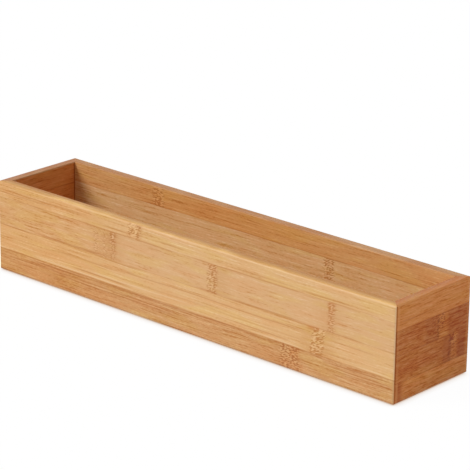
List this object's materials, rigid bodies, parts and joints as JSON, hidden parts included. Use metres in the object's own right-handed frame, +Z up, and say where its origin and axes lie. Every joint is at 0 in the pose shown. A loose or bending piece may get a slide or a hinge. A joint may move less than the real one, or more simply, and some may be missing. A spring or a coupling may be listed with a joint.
{
  "type": "open storage tray",
  "caption": "Long narrow open-topped storage tray of laminated bamboo strips, with mitred corners and a floor panel held in a groove.",
  "frame": {"origin": "centre of the footprint, on the ground plane under the boards", "axes": "+X along the tray towards the right end, +Y from the front board towards the back board, +Z up"},
  "size_m": [0.38, 0.08, 0.07],
  "materials": {
    "bamboo_pale": "clear satin varnish on pale laminated bamboo",
    "bamboo_straw": "clear satin varnish on straw-coloured laminated bamboo",
    "bamboo_honey": "clear satin varnish on honey-coloured laminated bamboo",
    "bamboo_amber": "clear satin varnish on amber laminated bamboo",
    "bamboo_russet": "clear satin varnish on russet laminated bamboo"
  },
  "bodies": {
    "root": {"front_top_strip": "bamboo_pale", "front_upper_strip": "bamboo_straw", "front_lower_strip": "bamboo_pale", "front_bottom_strip": "bamboo_honey", "right_top_strip": "bamboo_amber", "right_upper_strip": "bamboo_russet", "right_lower_strip": "bamboo_russet", "right_bottom_strip": "bamboo_amber", "back_top_strip": "bamboo_honey", "back_upper_strip": "bamboo_pale", "back_lower_strip": "bamboo_straw", "back_bottom_strip": "bamboo_honey", "left_top_strip": "bamboo_amber", "left_upper_strip": "bamboo_amber", "left_lower_strip": "bamboo_russet", "left_bottom_strip": "bamboo_amber", "floor_front_strip": "bamboo_honey", "floor_mid_front_strip": "bamboo_pale", "floor_mid_back_strip": "bamboo_straw", "floor_back_strip": "bamboo_honey"}
  },
  "joints": []
}
